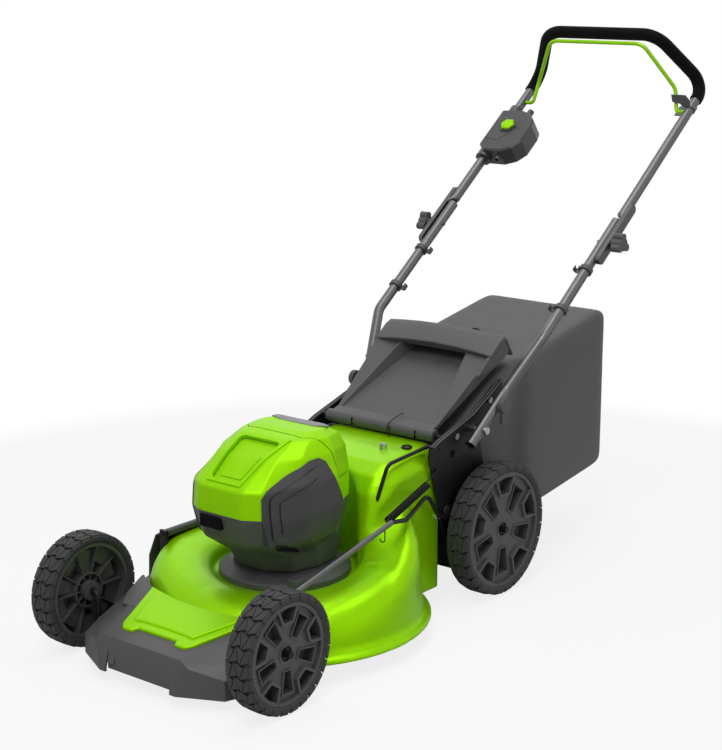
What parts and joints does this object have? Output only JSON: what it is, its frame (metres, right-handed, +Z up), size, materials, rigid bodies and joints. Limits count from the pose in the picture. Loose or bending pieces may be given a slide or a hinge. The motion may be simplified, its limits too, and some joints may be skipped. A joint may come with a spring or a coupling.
{
  "type": "walk-behind lawn mower",
  "caption": "Cordless walk-behind rotary mower: green steel deck, battery motor pod, rear grass bag, folding tube handle with bail and switch box.",
  "frame": {"origin": "on the ground under the middle of the whole box", "axes": "+X to the mower's left, +Y backwards to the user, +Z up"},
  "size_m": [0.524, 1.4666, 1.032],
  "materials": {
    "green_paint": "gloss",
    "green_plastic": "satin",
    "green_rod": "satin",
    "dark_plastic": "fine grain",
    "panel_plastic": "fine grain",
    "black_steel": "satin",
    "tube_steel": "metallic satin",
    "zinc": "plated",
    "blade_steel": "ground",
    "tyre": "moulded",
    "rubber": "moulded",
    "foam": "cellular",
    "bag_fabric": "woven",
    "window": "translucent smoke",
    "copper": "lacquered",
    "board": "varnished",
    "battery": "fine grain"
  },
  "bodies": {
    "chassis": {"deck": "green_paint", "front_bumper": "dark_plastic", "bumper_trim": "green_plastic", "motor_base": "dark_plastic", "motor_shroud": "dark_plastic", "battery_bay": "dark_plastic", "top_cover": "green_plastic", "side_panel_left": "panel_plastic", "side_panel_right": "panel_plastic", "battery_pack": "battery", "safety_key": "dark_plastic", "control_board": "board", "motor_stator": "copper", "motor_bearings": "zinc", "handle_bracket_left": "black_steel", "handle_bracket_right": "black_steel", "frame_bolts": "zinc", "hinge_rods": "black_steel", "flap_spring": "black_steel", "deck_guides": "black_steel", "lift_spring": "black_steel", "axle_saddles": "dark_plastic"},
    "rotor": {"motor_rotor": "zinc", "blade_adapter": "zinc", "blade": "blade_steel", "blade_bolt": "zinc"},
    "lid": {"battery_lid": "green_plastic", "lid_window": "window"},
    "rear_axle": {"rear_axle": "black_steel", "rear_axle_nuts": "black_steel", "height_lever": "dark_plastic"},
    "front_axle": {"front_axle": "black_steel", "front_axle_nuts": "black_steel"},
    "tie_rod": {"tie_rod": "tube_steel", "tie_link": "black_steel"},
    "front_left_wheel": {"tyre_front_left": "tyre", "wheel_front_left": "dark_plastic"},
    "front_right_wheel": {"tyre_front_right": "tyre", "wheel_front_right": "dark_plastic"},
    "rear_left_wheel": {"tyre_rear_left": "tyre", "wheel_rear_left": "dark_plastic"},
    "rear_right_wheel": {"tyre_rear_right": "tyre", "wheel_rear_right": "dark_plastic"},
    "flap": {"rear_flap": "dark_plastic"},
    "side_door": {"side_door": "dark_plastic"},
    "shield": {"trailing_shield": "rubber"},
    "lower_handle": {"lower_tube_left": "tube_steel", "lower_tube_right": "tube_steel", "lower_clips": "dark_plastic"},
    "left_lock": {"handle_lock_left": "dark_plastic"},
    "right_lock": {"handle_lock_right": "dark_plastic"},
    "upper_handle": {"upper_handle": "tube_steel", "foam_grip": "foam", "switch_box": "dark_plastic"},
    "bail": {"bail": "green_rod"},
    "button": {"start_button": "green_plastic"},
    "left_knob": {"knob_left": "dark_plastic"},
    "right_knob": {"knob_right": "dark_plastic"},
    "bag": {"grass_bag": "bag_fabric", "bag_frame": "dark_plastic"}
  },
  "joints": [
    {"name": "blade_spin", "type": "hinge", "parent": "chassis", "child": "rotor", "pos_m": [0, -0.35933, 0.062], "axis": [0, 0, 1], "continuous": true},
    {"name": "lid_open", "type": "hinge", "parent": "chassis", "child": "lid", "pos_m": [0, -0.28532, 0.3], "axis": [-1, 0, 0], "range_deg": [0, 95]},
    {"name": "height_set", "type": "hinge", "parent": "chassis", "child": "rear_axle", "pos_m": [0, 0.03667, 0.073], "axis": [1, 0, 0], "range_deg": [0, 60]},
    {"name": "front_crank", "type": "hinge", "parent": "chassis", "child": "front_axle", "pos_m": [0, -0.63133, 0.048], "axis": [1, 0, 0], "range_deg": [0, 60]},
    {"name": "tie_pin", "type": "hinge", "parent": "front_axle", "child": "tie_rod", "pos_m": [0.183, -0.63133, 0.123], "axis": [1, 0, 0], "range_deg": [-60, 0]},
    {"name": "flap_lift", "type": "hinge", "parent": "chassis", "child": "flap", "pos_m": [0, -0.08632, 0.322], "axis": [1, 0, 0], "range_deg": [0, 50]},
    {"name": "door_lift", "type": "hinge", "parent": "chassis", "child": "side_door", "pos_m": [-0.208, -0.35933, 0.16], "axis": [0, 1, 0], "range_deg": [0, 75], "stiffness_Nm_per_rad": 0.15},
    {"name": "shield_swing", "type": "hinge", "parent": "chassis", "child": "shield", "pos_m": [0, 0.07468, 0.092], "axis": [1, 0, 0], "range_deg": [-20, 45]},
    {"name": "handle_fold", "type": "hinge", "parent": "chassis", "child": "lower_handle", "pos_m": [0, 0.00468, 0.322], "axis": [1, 0, 0], "range_deg": [0, 130]},
    {"name": "handle_elbow", "type": "hinge", "parent": "lower_handle", "child": "upper_handle", "pos_m": [0, 0.36068, 0.63197], "axis": [-1, 0, 0], "range_deg": [0, 70]},
    {"name": "left_lock_turn", "type": "hinge", "parent": "lower_handle", "child": "left_lock", "pos_m": [0.18, 0.05668, 0.36], "axis": [1, 0, 0], "range_deg": [0, 60]},
    {"name": "right_lock_turn", "type": "hinge", "parent": "lower_handle", "child": "right_lock", "pos_m": [-0.18, 0.05668, 0.36], "axis": [1, 0, 0], "range_deg": [0, 60]},
    {"name": "left_knob_turn", "type": "hinge", "parent": "upper_handle", "child": "left_knob", "pos_m": [0.235, 0.36068, 0.63197], "axis": [1, 0, 0], "continuous": true},
    {"name": "right_knob_turn", "type": "hinge", "parent": "upper_handle", "child": "right_knob", "pos_m": [-0.235, 0.36068, 0.63197], "axis": [1, 0, 0], "continuous": true},
    {"name": "bail_pull", "type": "hinge", "parent": "upper_handle", "child": "bail", "pos_m": [0, 0.66868, 0.86407], "axis": [-1, 0, 0], "range_deg": [0, 4.5], "stiffness_Nm_per_rad": 2},
    {"name": "start_press", "type": "slide", "parent": "upper_handle", "child": "button", "axis": [0, 0.6018, -0.7986], "range_m": [0, 0.004], "stiffness_N_per_m": 200},
    {"name": "bag_pull", "type": "slide", "parent": "chassis", "child": "bag", "axis": [0, 1, 0], "range_m": [0, 0.3]},
    {"name": "front_left_roll", "type": "hinge", "parent": "front_axle", "child": "front_left_wheel", "pos_m": [0.228, -0.63133, 0.102], "axis": [1, 0, 0], "continuous": true},
    {"name": "rear_left_roll", "type": "hinge", "parent": "rear_axle", "child": "rear_left_wheel", "pos_m": [0.18, 0.03667, 0.127], "axis": [1, 0, 0], "continuous": true},
    {"name": "front_right_roll", "type": "hinge", "parent": "front_axle", "child": "front_right_wheel", "pos_m": [-0.228, -0.63133, 0.102], "axis": [1, 0, 0], "continuous": true},
    {"name": "rear_right_roll", "type": "hinge", "parent": "rear_axle", "child": "rear_right_wheel", "pos_m": [-0.18, 0.03667, 0.127], "axis": [1, 0, 0], "continuous": true}
  ],
  "couplings": [
    {"joint": "front_crank", "follows": "height_set", "ratio": 1},
    {"joint": "tie_pin", "follows": "height_set", "ratio": -1}
  ]
}
